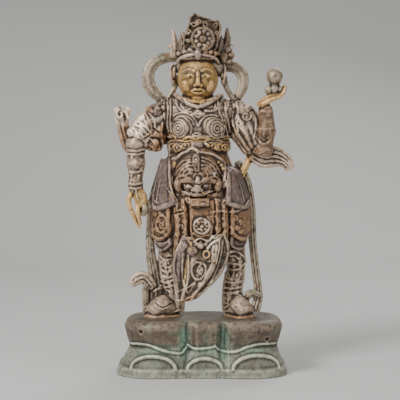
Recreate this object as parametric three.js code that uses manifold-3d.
// Bronze guardian in armour, standing on a cast plinth shaped like rocks.
// Millimetres, +Z up. The guardian faces -Y, and +X is the viewer's right.
// The origin is the centre of the plinth's underside.
import * as THREE from 'three';
import { mergeVertices } from 'three/addons/utils/BufferGeometryUtils.js';
import Module from 'manifold-3d';

const wasm = await Module();
wasm.setup();

const v = (x, y, z) => new THREE.Vector3(x, y, z);
const { clamp, degToRad, lerp, radToDeg } = THREE.MathUtils;
const count = (n, make) => Array.from({ length: n }, (_, i) => make(i));
const mirrored = (make) => [-1, 1].map(make);

// Driving dimensions
const PLINTH = { halfWidth: 102, halfDepth: 58, height: 65, rim: 9, waist: 34 };
const SOLE = PLINTH.height;
const LEVEL = { tab: 158, mask: 236, belt: 271, crown: 381 };
const HEAD = { x: -4, y: -3, z: 351, wide: 24.5, deep: 27, tall: 29 };
const FRONT = v(0, -1, 0);
const UP = v(0, 0, 1);

// The dressed trunk as oval sections, from the hem of the skirt up over the belt, the chest band,
// the chest and the scarf round the neck
const TRUNK_Y = 4;
const TRUNK = [
  { z: 138, x: -1, wide: 49, deep: 30 },
  { z: 170, x: -1, wide: 56, deep: 34 },
  { z: 200, x: -1, wide: 56, deep: 36 },
  { z: 222, x: -2, wide: 48.5, deep: 37 },
  { z: 262, x: -4, wide: 35.5, deep: 30 },
  { z: 266, x: -3, wide: 38.5, deep: 33 },
  { z: 275, x: -3, wide: 38.5, deep: 32.5 },
  { z: 277, x: -3, wide: 36, deep: 29.5 },
  { z: 281, x: -3, wide: 39.5, deep: 32 },
  { z: 284, x: -3, wide: 37, deep: 29 },
  { z: 306, x: -3, wide: 44, deep: 28 },
  { z: 316, x: -3, wide: 46, deep: 25 },
  { z: 324, x: -4, wide: 39, deep: 20 },
  { z: 330, x: -4, wide: 27, deep: 17 },
];

// Moves each vertex of a closed three.js geometry and makes a solid of it
function solid(geometry, move) {
  const bare = new THREE.BufferGeometry();
  bare.setAttribute('position', geometry.getAttribute('position'));
  bare.setIndex(geometry.index);
  const merged = mergeVertices(bare, 1e-4);
  const place = merged.getAttribute('position');
  const point = v(0, 0, 0);
  for (let i = 0; i < place.count; i += 1) {
    point.fromBufferAttribute(place, i);
    move(point);
    place.setXYZ(i, point.x, point.y, point.z);
  }
  const faces = [];
  for (let i = 0; i < merged.index.count; i += 3) {
    const [a, b, c] = merged.index.array.slice(i, i + 3);
    if (a !== b && b !== c && c !== a) faces.push(a, b, c);
  }
  const build = (list) => new wasm.Manifold(
    new wasm.Mesh({ numProp: 3, vertProperties: place.array, triVerts: new Uint32Array(list) }),
  );
  const made = build(faces);
  return made.volume() > 0 ? made : build(faces.reverse());
}

const join = (...parts) => parts.flat(Infinity).reduce((whole, part) => whole.add(part));

// The pair of numbers at t, from 0 to 1, along a list of pairs or of single numbers
function pairAt(list, t) {
  const place = clamp(t, 0, 1) * (list.length - 1);
  const i = Math.min(Math.floor(place), list.length - 2);
  const [a, b] = [list[i], list[i + 1]].map((value) => [value, value].flat().slice(-2));
  return a.map((value, k) => lerp(value, b[k], place - i));
}

// A tube of oval section along a smooth path. A size is a radius, or [half width, half thickness]
// with the thickness towards face. ends is how far the rounded ends bulge, in half thicknesses.
function limb(path, sizes, { sides = 6, steps = sizes.length - 1, face = FRONT, ends = 0 } = {}) {
  const curve = new THREE.CatmullRomCurve3(path, false, 'catmullrom', 0.5);
  const tube = ends
    ? new THREE.CapsuleGeometry(1, steps, 1, sides, steps)
    : new THREE.CylinderGeometry(1, 1, steps, sides, steps);
  return solid(tube, (p) => {
    const t = clamp(p.y / steps + 0.5, 0, 1);
    const past = p.y - (t - 0.5) * steps;
    const tangent = curve.getTangent(t);
    const side = tangent.clone().cross(face).normalize();
    const out = side.clone().cross(tangent);
    const [wide, thick] = pairAt(sizes, t);
    const { x, z } = p;
    p.copy(curve.getPoint(t)).addScaledVector(tangent, past * ends * thick);
    p.addScaledVector(side, x * wide).addScaledVector(out, z * thick);
  });
}

const ball = (centre, radii, { sides = 6, rings = 4, tilt = 0 } = {}) => solid(
  new THREE.SphereGeometry(1, sides, rings),
  (p) => p.set(p.x, p.z, p.y).multiply(radii).applyAxisAngle(FRONT, degToRad(tilt)).add(centre),
);

const bead = (centre, radius, options) => ball(centre, v(radius, radius, radius), options);

// A plate on a surface given by place(u, w), with u across and w down. It reaches from inner to
// outer, both measured out from that surface.
function plate(place, inner, outer, across, down) {
  const small = 1e-3;
  return solid(new THREE.BoxGeometry(1, 1, 1, across, down, 1), (p) => {
    const [u, w, depth] = [p.x + 0.5, 0.5 - p.y, p.z + 0.5];
    const here = place(u, w);
    const right = place(u + small, w).sub(here);
    const below = place(u, w + small).sub(here);
    const normal = below.cross(right).normalize();
    p.copy(here).addScaledVector(normal, lerp(inner, outer, depth));
  });
}

// A turned boss whose axis points along face. The profile is [radius, height] pairs.
function boss(centre, profile, sides, face = FRONT) {
  const turned = new THREE.LatheGeometry(profile.map(([r, h]) => new THREE.Vector2(r, h)), sides);
  const aim = new THREE.Quaternion().setFromUnitVectors(v(0, 1, 0), face.clone().normalize());
  return solid(turned, (p) => p.applyQuaternion(aim).add(centre));
}

// The trunk's section at a height
function trunkAt(z) {
  const top = TRUNK.findIndex((section) => section.z > z);
  const i = top < 0 ? TRUNK.length - 1 : Math.max(top, 1);
  const [lower, upper] = [TRUNK[i - 1], TRUNK[i]];
  const t = clamp((z - lower.z) / (upper.z - lower.z), 0, 1);
  return {
    x: lerp(lower.x, upper.x, t),
    wide: lerp(lower.wide, upper.wide, t),
    deep: lerp(lower.deep, upper.deep, t),
  };
}

// A point on the trunk, lifted off it. Angle 0 is the front and 90 is the viewer's right.
function around(angle, z, lift = 0) {
  const section = trunkAt(z);
  const a = degToRad(angle);
  return v(
    section.x + (section.wide + lift) * Math.sin(a),
    TRUNK_Y - (section.deep + lift) * Math.cos(a),
    z,
  );
}

// The point of the trunk's front that shows at x, z
function onTrunk(x, z, lift = 0) {
  const section = trunkAt(z);
  return around(radToDeg(Math.asin(clamp((x - section.x) / section.wide, -1, 1))), z, lift);
}

// The point of the face that shows at x, z
function onFace(x, z, lift = 0) {
  const across = clamp((x - HEAD.x) / HEAD.wide, -1, 1);
  const high = clamp((z - HEAD.z) / HEAD.tall, -1, 1);
  return v(x, HEAD.y - lift - HEAD.deep * Math.sqrt(Math.max(0, 1 - across ** 2 - high ** 2)), z);
}

// A rounded line of relief
const ridge = (points, radius, steps) => limb(points, [radius, radius], { sides: 4, steps });

// Points on the trunk along part of an oval about x, z
const arch = (x, z, wide, tall, from, to, n, lift) => count(n, (i) => {
  const a = degToRad(lerp(from, to, i / (n - 1)));
  return onTrunk(x + wide * Math.sin(a), z + tall * Math.cos(a), lift);
});

// Stops along the plinth's front, as shares of its half width, close together at the two grooves
const STOPS = [-0.95, -0.82, -0.58, -0.32, -0.22, -0.12, 0.02, 0.14, 0.24, 0.34, 0.6, 0.83, 0.95];
const GROOVES = [-0.22, 0.24];
const ROCK = [
  { z: 0, x: 1, size: 1, groove: 0.02, wave: 0 },
  { z: PLINTH.rim, x: 1, size: 0.985, groove: 0.02, wave: 0 },
  { z: PLINTH.rim + 3, x: 1, size: 0.95, groove: 0.04, wave: 0 },
  { z: 22, x: 2, size: 0.9, groove: 0.08, wave: 1 },
  { z: PLINTH.waist, x: 2.6, size: 0.862, groove: 0.14, wave: 3 },
  { z: 42, x: 2.6, size: 0.89, groove: 0.16, wave: 3 },
  { z: 56, x: 2.6, size: 0.925, groove: 0.14, wave: 0 },
  { z: PLINTH.height, x: 2.4, size: 0.86, groove: 0.1, wave: 0 },
];

// How deep the grooves cut at a share of the half width, from 0 to 1
const grooveAt = (x) => GROOVES.reduce((sum, at) => sum + Math.exp(-(((x - at) / 0.07) ** 2)), 0);

// The plinth's surface at a share x of its half width and a height, facing front (-1) or back (1).
// The two outer rocks swell further out than the middle one.
function rockAt(x, level, facing) {
  const swell = 0.1 * Math.exp(-(((Math.abs(x) - 0.62) / 0.26) ** 2));
  const depth = (1 - Math.abs(x) ** 4) ** 0.25 * (1 + swell - level.groove * grooveAt(x));
  const lift = level.wave * (0.7 - 2 * grooveAt(x)) * (1 - x ** 4);
  return v(
    level.x + x * PLINTH.halfWidth * level.size,
    facing * depth * PLINTH.halfDepth * level.size,
    level.z + lift,
  );
}

// The corners of the plinth's outline, all round
function rockRing(level) {
  const side = (s) => [-0.5, 0, 0.5].map((y) => v(
    level.x + s * PLINTH.halfWidth * level.size * (1 - y ** 4) ** 0.25,
    s * y * PLINTH.halfDepth * level.size,
    level.z,
  ));
  const front = STOPS.map((x) => rockAt(x, level, -1));
  const back = STOPS.map((x) => rockAt(-x, level, 1));
  return [...front, ...side(1), ...back, ...side(-1)];
}

function plinthBody() {
  const rings = ROCK.map(rockRing);
  const sides = rings[0].length;
  const steps = rings.length - 1;
  return solid(new THREE.CylinderGeometry(1, 1, steps, sides, steps), (p) => {
    const ring = rings[Math.round(p.y + steps / 2)];
    if (Math.hypot(p.x, p.z) < 0.5) p.set(0, 0, ring[0].z);
    else p.copy(ring[Math.round((Math.atan2(p.x, p.z) / (2 * Math.PI)) * sides + sides) % sides]);
  });
}

// The arched edge of a mound at the foot of a rock
function foothill(x, wide, tall) {
  const edge = count(6, (i) => {
    const a = degToRad(lerp(-90, 90, i / 5));
    const rise = Math.cos(a);
    const size = lerp(0.965, 0.9, rise);
    const level = { z: PLINTH.rim + 1 + tall * rise, x: 1, size, groove: 0.06, wave: 0 };
    return rockAt((x + wide * Math.sin(a)) / PLINTH.halfWidth / size, level, -1);
  });
  return ridge(edge, 2.2, 5);
}

function plinth() {
  const hills = [foothill(-57, 26, 15), foothill(3, 20, 12), foothill(63, 27, 16)];
  const castingHoles = [[-71, 53], [77, 44]].map(([x, z]) => limb(
    [v(x, -PLINTH.halfDepth - 9, z), v(x, -PLINTH.halfDepth + 20, z)],
    [2.6, 2.2],
    { sides: 4, face: UP },
  ));
  return join(plinthBody(), hills).subtract(join(castingHoles));
}

function trunk() {
  const rings = TRUNK.length - 1;
  return solid(new THREE.CylinderGeometry(1, 1, rings, 16, rings), (p) => {
    const section = TRUNK[Math.round(p.y + rings / 2)];
    p.set(section.x + p.x * section.wide, TRUNK_Y - p.z * section.deep, section.z);
  });
}

// Rings round a stud, as on the chest
function rosette(x, z) {
  const face = onTrunk(x, z, 1).sub(onTrunk(x, z)).setZ(0);
  return boss(onTrunk(x, z), [[0, 5], [4.4, 2.4], [7.4, 4], [10, 1], [10, -6], [0, -6]], 8, face);
}

function chest() {
  const plates = [-25, 17.5].map((x) => [
    rosette(x, 290.5),
    ridge(arch(x, 290, 15, 14, -110, 110, 5, 0), 2, 4),
  ]);
  const straps = [-36, 29].map((x) => {
    const place = (u, w) => onTrunk(x + (u - 0.5) * 9, lerp(315, 286, w));
    return plate(place, -4, 2.6, 1, 1);
  });
  const buckle = boss(onTrunk(-4, 308), [[0, 4.5], [6, 2], [6, -5], [0, -5]], 6);
  return join(plates, straps, buckle);
}

function beltClasp() {
  const place = (u, w) => onTrunk(-5 + (u - 0.5) * 15, LEVEL.belt + 4 - w * 8);
  return plate(place, -4, 2.6, 1, 1);
}

// The beast's head on the belly, under the folded edge of its hide
const MASK = { x: -4, y: -24, z: LEVEL.mask + 1, wide: 27, deep: 18, tall: 27 };

// A point on the mask, lifted off it
function onMask(dx, dz, lift = 0) {
  const reach = Math.sqrt(Math.max(0.05, 1 - (dx / MASK.wide) ** 2 - (dz / MASK.tall) ** 2));
  return v(MASK.x + dx, MASK.y - MASK.deep * reach - lift, MASK.z + dz);
}

function beastMask() {
  const radii = v(MASK.wide, MASK.deep, MASK.tall);
  const dome = ball(v(MASK.x, MASK.y, MASK.z), radii, { sides: 10, rings: 6 });
  const hood = ridge(arch(MASK.x, 228, 32, 36, -100, 100, 7, 1), 4.5, 6);
  const forelock = limb(
    [onMask(0, 22), onMask(0, 12, 1), onMask(0, 2)],
    [[4, 4], [6, 4], [3, 3]],
    { sides: 5 },
  );
  const brows = mirrored((s) => limb(
    [onMask(s * 2, -10), onMask(s * 11, -6, 1), onMask(s * 22, -11)],
    [3, 4, 3],
    { sides: 4 },
  ));
  const curls = mirrored((s) => ball(onMask(s * 23, -12, 2), v(5, 6, 9), { sides: 5 }));
  const eyes = mirrored((s) => bead(onMask(s * 10.5, -15, -0.5), 4, { sides: 5, rings: 3 }));
  const nose = limb(
    [onMask(0, -6), onMask(0, -14, 2), onMask(0, -20, 3)],
    [[3, 3], [4, 4], [7, 4.5]],
    { sides: 5, ends: 0.4 },
  );
  const upperLip = [onMask(-19, -20), onMask(0, -23, 3), onMask(19, -20)];
  const lowerLip = [onMask(-17, -27, -4), onMask(0, -36, 8), onMask(17, -27, -4)];
  const lips = [
    limb(upperLip, [3, 3.6, 3], { sides: 4, steps: 3 }),
    limb(lowerLip, [[4, 4], [5, 6], [4, 4]], { sides: 5 }),
  ];
  return join(dome, hood, forelock, brows, curls, eyes, nose, lips);
}

// A flap hung on the trunk, cut on a curve at the hem. Its sides swing from top to hem angles.
function hangingFlap({ top, hem, fan, sag, angles, hemAngles = angles }, outer, across, down) {
  return plate((u, w) => {
    const low = lerp(hem[0], hem[1], u) - sag * Math.sin(Math.PI * clamp(u, 0, 1));
    const angle = lerp(lerp(...angles, u), lerp(...hemAngles, u), w ** fan);
    return around(angle, lerp(top, low, w));
  }, -7, outer, across, down);
}

const APRONS = [
  { top: 254, hem: [212, 201], fan: 0.7, sag: 13, angles: [-88, -56], hemAngles: [-98, -30] },
  { top: 240, hem: [201, 214], fan: 0.7, sag: 12, angles: [52, 90], hemAngles: [30, 98] },
  { top: 254, hem: [200, 200], fan: 0.8, sag: 14, angles: [145, 215], hemAngles: [130, 230] },
];
const UPPER_TABS = [[-86, -38], [38, 86]].map((angles) => (
  { top: 212, hem: [LEVEL.tab + 8, LEVEL.tab + 8], fan: 1, sag: 9, angles }
));
const LOWER_TABS = [[-82, -40], [40, 82]].map((angles) => (
  { top: 176, hem: [LEVEL.tab - 4, LEVEL.tab - 4], fan: 1, sag: 9, angles }
));

function skirts() {
  return [
    ...APRONS.map((flap) => hangingFlap(flap, 7, 4, 2)),
    ...UPPER_TABS.map((flap) => hangingFlap(flap, 6, 4, 1)),
    ...LOWER_TABS.map((flap) => hangingFlap(flap, 3.2, 4, 1)),
  ];
}

// The pendant between the skirts: a rounded cloth with a raised medallion
function pendant() {
  const x = 0.5;
  const cloth = plate((u, w) => onTrunk(
    x + (u - 0.5) * 28 * (1 - 0.3 * w ** 3),
    lerp(206, 160 - 3 * Math.sin(Math.PI * clamp(u, 0, 1)), w),
  ), -6, 7, 3, 3);
  const profile = [[0, 5], [4, 4], [5, 2.4], [8, 3.6], [10.5, 1], [10.5, -4], [0, -4]];
  return join(cloth, boss(onTrunk(x, 176, 6), profile, 9));
}

// Narrow folds of cloth that hang beside the pendant
const strips = () => [-30, -22, 19, 27].map((x) => limb(
  [onTrunk(x, 206), onTrunk(x + 1, 176), onTrunk(x, 140)],
  [[3, 3], [4.4, 5.5], [4, 4.5]],
  { sides: 4 },
));

function knot() {
  return join(
    bead(v(-0.5, -38, 153), 5, { sides: 5, rings: 3 }),
    ball(v(-10, -38, 146.5), v(7, 5.5, 5.5), { sides: 5, tilt: 20 }),
    ball(v(6.5, -38, 143), v(6, 5.5, 5.5), { sides: 5, tilt: -30 }),
  );
}

// The cloth that falls from the knot between the legs and blows across to the viewer's left
function frontCloth() {
  const edges = [
    [v(-22, -28, 162), v(-31, -28, 142), v(-33, -23, 118), v(-28, -22, 84)],
    [v(28, -26, 166), v(33, -26, 150), v(24, -25, 119), v(-8, -24, 88)],
  ].map((edge) => new THREE.CatmullRomCurve3(edge));
  const cloth = plate((u, w) => {
    const t = clamp(w, 0, 1);
    const spot = edges[0].getPoint(t).lerp(edges[1].getPoint(t), u);
    spot.y -= 6 * Math.sin(Math.PI * u);
    return spot;
  }, -4, 2, 3, 4);
  const folds = [
    [v(-22, -33, 146), v(-26, -33, 118), v(-23, -29, 90)],
    [v(-4, -37, 144), v(-8, -38, 116), v(-14, -31, 88)],
    [v(24, -32, 160), v(26, -33, 140), v(14, -31, 110)],
  ];
  const sizes = [[3, 3], [4, 4.4], [3, 3.4], [2, 2.4]];
  return join(cloth, folds.map((fold) => limb(fold, sizes, { sides: 4 })));
}

// A boot with its sole flat on the plinth and a turned-up toe, under a shin wrapped in bands
function boot(heel, toe, knee, shin) {
  const onSole = (place, high) => v(place.x, place.y, SOLE + high);
  const mid = heel.clone().lerp(toe, 0.5);
  const bands = [14, 13, 11, 12.5, 12.2, 13, 13];
  const leg = limb([knee, shin, onSole(heel, 34), onSole(heel, 6)], bands, { sides: 7 });
  const foot = limb(
    [onSole(heel, 9), onSole(mid, 11), onSole(toe, 6)],
    [[12, 14], [13, 15], [11, 9]],
    { sides: 7, face: UP, ends: 0.5 },
  );
  const outsole = limb(
    [onSole(heel, 0.5), onSole(toe, 0.5)],
    [[13, 4], [14.5, 4]],
    { sides: 8, face: UP, ends: 2 },
  );
  return join(leg, foot, outsole);
}

const legs = () => join(
  boot(v(-33, 6, 0), v(-60, -9, 0), v(-36, 4, 160), v(-40, 4, 120)),
  boot(v(38, 6, 0), v(54, -13, 0), v(38, 4, 160), v(42, 4, 124)),
);

// The scarf ends that hang beside the skirt down to the boots
function hangingScarves() {
  const left = [
    v(-44, 8, 254), v(-52, 8, 230), v(-58.5, 8, 207), v(-62, 7, 180),
    v(-61, 6, 140), v(-55.5, 4, 109), v(-54.5, 2, 78),
  ];
  const leftCurl = [v(-58, 0, 100), v(-68, -2, 112), v(-77, -3, 110), v(-84, -4, 104)];
  const leftFoot = [v(-60, 0, 110), v(-67, -1, 97), v(-66, -1, 62)];
  const right = [
    v(44, 8, 250), v(56, 8, 225), v(61, 7, 190), v(62, 6, 155),
    v(66, 4, 118), v(69, 2, 90), v(65, -1, 73),
  ];
  const rightCurl = [v(70, 0, 88), v(60, -2, 93), v(50, -4, 84)];
  return join(
    limb(left, [5, 4.6, 4.4, 4, [6, 3.5], [8, 3.5], [14, 3.5]], { sides: 4 }),
    limb(leftCurl, [[6, 3], [7.5, 3], [8, 3], [5, 2.5]], { sides: 5, ends: 0.5 }),
    limb(leftFoot, [[5, 3], [4.5, 3], [4, 3]], { sides: 4 }),
    limb(right, [[5, 4], [5, 4], [5, 3.6], [5, 4], [6.5, 4]], { sides: 5, steps: 7, ends: 0.5 }),
    limb(rightCurl, [[6, 3], [5, 3], [6, 3]], { sides: 4 }),
  );
}

// The sash that loops from the raised elbow to the hip, clear of the waist
const hipSash = () => limb(
  [v(54, 4, 276), v(58, 4, 256), v(46, 4, 232)],
  [[5, 3.5], [4.5, 3], [4.5, 3.5], [5, 4]],
  { sides: 5 },
);

// A guard with small bosses over the point of a shoulder
function shoulderGuard(s, centre) {
  const lumps = [[-8, -8, 4], [7, -10, 2]].map(([x, y, z]) => (
    bead(centre.clone().add(v(s * x, y, z)), 4, { sides: 5, rings: 3 })
  ));
  return join(ball(centre, v(14, 13, 10), { tilt: s * 32 }), lumps);
}

// Steps in a forearm's radius that make its cuffs
const CUFFS = [11.5, 12.6, 11, 10.6, 11.8, 9.6, 8.4, 9.4, 5.8];

function loweredArm() {
  const upper = limb(
    [v(-40, 4, 311), v(-60, 1, 300), v(-76, -3, 279)],
    [[15, 14], [16, 14], [16, 13]],
    { sides: 7, ends: 0.5 },
  );
  const sleeve = limb(
    [v(-50, 2, 300), v(-55, 0, 284), v(-57, -1, 268)],
    [10, 13, 10],
    { sides: 5, ends: 0.5 },
  );
  const forearm = limb(
    [v(-78, -4, 278), v(-78, -6, 258), v(-78, -8, 238), v(-79, -10, 214)],
    CUFFS,
  );
  const scarfEnd = limb(
    [v(-74, 2, 262), v(-87, 3, 272), v(-93, 3, 288), v(-95, 1, 303), v(-94.5, -2, 312)],
    [[11, 5], [9, 4], [7, 3.5], [9, 5], [10.5, 7]],
    { sides: 5, steps: 5, ends: 0.8 },
  );
  return join(upper, sleeve, forearm, scarfEnd, shoulderGuard(-1, v(-54, -2, 311)));
}

// The gilt hand that points down, with a hollow between the palm and the forefinger
function loweredHand() {
  const finger = { sides: 5, ends: 0.8 };
  const palm = limb(
    [v(-79, -10, 222), v(-73, -11, 211), v(-70, -12, 198)],
    [[6, 6], [8, 6.5], [8, 6]],
    { ends: 0.4 },
  );
  const forefinger = limb(
    [v(-80, -10, 219), v(-86.5, -12, 205), v(-81, -13, 187), v(-74, -13, 173)],
    [4, 3.4, 3, 2.2],
    { ...finger, steps: 5 },
  );
  const next = limb([v(-75, -12, 196), v(-74, -15, 186), v(-71.5, -14, 177)], [3.6, 3.2, 2.4], finger);
  return join(palm, forefinger, next, ball(v(-68, -13, 192), v(6, 6, 5.5)));
}

function raisedArm() {
  const upper = limb(
    [v(38, 5, 311), v(54, 4, 302), v(68, -1, 272)],
    [[15, 14], [15, 14], [13, 13]],
    { sides: 7, ends: 0.5 },
  );
  const sleeve = limb(
    [v(44, 2, 300), v(50, 1, 283), v(59, -1, 266)],
    [[10, 10], [12, 11], [10, 9]],
    { sides: 5, ends: 0.5 },
  );
  const forearm = limb(
    [v(72, -4, 260), v(76, -7, 278), v(78, -10, 298), v(75, -12, 320)],
    CUFFS,
  );
  const scarfEnd = limb(
    [v(62, 2, 262), v(75, 3, 257), v(89, 3, 257), v(101, 2, 252), v(107, 1, 243)],
    [[10, 4], [14, 4], [13, 3.5], [9, 3.5], [6, 3]],
    { sides: 5, steps: 5, ends: 0.6 },
  );
  return join(upper, sleeve, forearm, scarfEnd, shoulderGuard(1, v(48, 0, 313)));
}

// The gilt hand that lies open under the jewel
function raisedHand() {
  const finger = { sides: 5, ends: 0.8 };
  const palm = limb(
    [v(69, -12, 318), v(79, -13, 326), v(90, -13, 329)],
    [[6, 5], [9, 4.5], [9, 4]],
    { face: UP, ends: 0.5 },
  );
  const fingers = [[-18, 340], [-11, 342]].map(([y, top]) => limb(
    [v(86, y, 328), v(96, y, 331), v(100, y, top)],
    [3.4, 3.2, 2.2],
    { ...finger, face: v(0, 1, 0.1) },
  ));
  const thumb = limb(
    [v(72, -19, 319), v(82, -22, 324), v(93, -22, 328)],
    [3.4, 3.2, 2.4],
    { ...finger, face: UP },
  );
  return join(palm, fingers, thumb);
}

// A jewel shaped like a double gourd, on a cushion of three lobes
function jewel() {
  const lobes = [[80.5, 5.8], [93.2, 5.4]].map(([x, r]) => bead(v(x, -13, 336.5), r, { sides: 5 }));
  const gourd = [[0, 29.5], [6, 27.5], [9.6, 21], [9.2, 15], [5.4, 10], [6.4, 5], [5, -2], [0, -2]];
  return join(lobes, boss(v(87, -13, 333), gourd, 6, UP));
}

function head() {
  const skull = solid(new THREE.SphereGeometry(1, 12, 8), (p) => {
    const jaw = p.z > 0 && p.y < 0 ? 1.08 : 1;
    p.set(HEAD.x + p.x * HEAD.wide * jaw, HEAD.y - p.z * HEAD.deep, HEAD.z + p.y * HEAD.tall);
  });
  const at = (dx, z, lift) => onFace(HEAD.x + dx, z, lift);
  const features = mirrored((s) => [
    ridge([at(s * 4, 357), at(s * 11, 361), at(s * 18, 358)], 1.8, 2),
    ball(at(s * 10.5, 352, -1), v(5, 2.6, 2.4), { sides: 5, rings: 3 }),
    ball(v(s * 32 - 1, 0, 359), v(4, 5.5, 11), { sides: 5 }),
    ridge([v(s * 29 - 1, 0, 352), v(s * 31 - 1, 1, 340), v(s * 40 - 1, 3, 325)], 3.4, 2),
  ]);
  const nose = limb(
    [at(0, 358, -1), at(0, 348, 1.5), at(0, 342.5, 2.5)],
    [[2.2, 2.5], [3, 3], [5, 3.6]],
    { sides: 5, ends: 0.4 },
  );
  const lips = [
    ridge([at(-8, 335.4), at(0, 336.8, 0.6), at(8, 335.4)], 2, 2),
    ridge([at(-6, 333, -0.4), at(0, 332, 0.4), at(6, 333, -0.4)], 2, 2),
  ];
  const neck = limb([v(HEAD.x, 3, 318), v(HEAD.x, 1, 340)], [15, 15], { sides: 7 });
  const hair = ball(v(-1, 3, 364), v(30, 21, 17), { sides: 9 });
  return join(skull, features, nose, lips, neck, hair);
}

// A flame-shaped leaf of the crown
const flame = (foot, tip, wide) => limb(
  [foot, foot.clone().lerp(tip, 0.55).add(v(wide * 0.25, 0, 0)), tip],
  [[wide, 3.4], [wide * 0.85, 3], [wide * 0.25, 1.4]],
  { sides: 4 },
);

// The crown's tall front leaf, broken along the top
function frontLeaf() {
  const edge = [
    [-22, 380], [-21, 393], [-17, 412], [-8.5, 426], [2, 419.5], [11, 419], [21, 418.5],
    [24, 409], [20, 398], [18, 384], [8, 376], [-3, 372], [-12, 376],
  ];
  const outline = new THREE.Shape(edge.map(([x, z]) => new THREE.Vector2(x, z)));
  const sheet = new THREE.ExtrudeGeometry(outline, { depth: 8, bevelEnabled: false });
  const bulge = (x) => 0.012 * (x - 1) ** 2;
  const leaf = solid(sheet, (p) => p.set(p.x, bulge(p.x) - 27 + p.z, p.y));
  const on = (x, z) => v(x, bulge(x) - 27, z);
  const medal = boss(on(-1, 396), [[0, 5], [5, 2], [9, 2.6], [10, -3], [0, -3]], 7);
  return join(leaf, medal, ball(on(-4, 378), v(5, 4, 6), { sides: 5, rings: 3 }));
}

function crown() {
  const z = LEVEL.crown;
  const cap = [[0, 28], [12, 24], [19, 8], [21, 1], [24.5, 0], [24.5, -9], [18, -12], [0, -12]];
  const band = boss(v(HEAD.x, HEAD.y, z), cap, 10, UP);
  const leaves = [
    flame(v(-32, -6, z - 4), v(-34, -7, z + 27), 5.5),
    flame(v(-24, -12, z - 2), v(-24.5, -12, z + 21), 4),
    flame(v(21, -7, z - 4), v(30.5, -7, z + 29), 7),
    flame(v(-20, 12, z - 4), v(-23, 16, z + 26), 8),
    flame(v(14, 12, z - 4), v(18, 16, z + 26), 8),
  ];
  const knobs = [[-36, -5, 7, 4.4], [34, -3, -4, 6.5], [26, -6, -4, 7]].map(
    ([x, y, up, r]) => bead(v(x, y, z + up), r, { sides: 5, rings: 3 }),
  );
  return join(band, leaves, knobs, frontLeaf());
}

// The scarf that billows into a loop on each side of the head
function scarfLoops() {
  const left = [
    v(-18, 14, 374), v(-33, 12, 377), v(-49, 8, 374), v(-60, 6, 365),
    v(-64, 5, 351), v(-60, 5, 338), v(-50, 5, 328), v(-40, 5, 318),
  ];
  const right = [
    v(12, 14, 364), v(27, 12, 366), v(40, 9, 364), v(48, 7, 357),
    v(50.5, 6, 347), v(48, 6, 336), v(39, 6, 322),
  ];
  return join(
    limb(left, [[6, 3], [7, 3], [8, 3.4], [5, 4]], { sides: 5, steps: 10 }),
    limb(right, [[7, 3], [7, 3], [7, 3], [5, 4]], { sides: 5, steps: 9 }),
  );
}

function guardian() {
  const lower = join(trunk(), skirts(), pendant(), strips(), legs(), frontCloth(), knot());
  const upper = join(chest(), beltClasp(), beastMask(), loweredArm(), raisedArm());
  const top = join(head(), crown(), scarfLoops(), hangingScarves(), hipSash());
  const hands = join(loweredHand(), raisedHand(), jewel());
  const mouth = ball(onMask(0, -27, 8), v(12, 10, 1.8));
  const ground = solid(
    new THREE.BoxGeometry(400, 400, SOLE),
    (p) => p.add(v(0, 0, SOLE / 2)),
  );
  return join(lower, upper, top, hands).subtract(mouth).subtract(ground);
}

function named(name, shape, finish) {
  const { vertProperties, triVerts } = shape.getMesh();
  const geometry = new THREE.BufferGeometry();
  geometry.setAttribute('position', new THREE.BufferAttribute(vertProperties, 3));
  geometry.setIndex(new THREE.BufferAttribute(triVerts, 1));
  geometry.computeVertexNormals();
  const mesh = new THREE.Mesh(geometry, new THREE.MeshStandardMaterial(finish));
  mesh.name = name;
  return mesh;
}

const statue = new THREE.Group();
statue.add(
  named('guardian_figure', guardian(), { color: 0x6b5348, roughness: 0.6, metalness: 0.5 }),
  named('plinth', plinth(), { color: 0x5f675b, roughness: 0.65, metalness: 0.5 }),
);

export default statue;
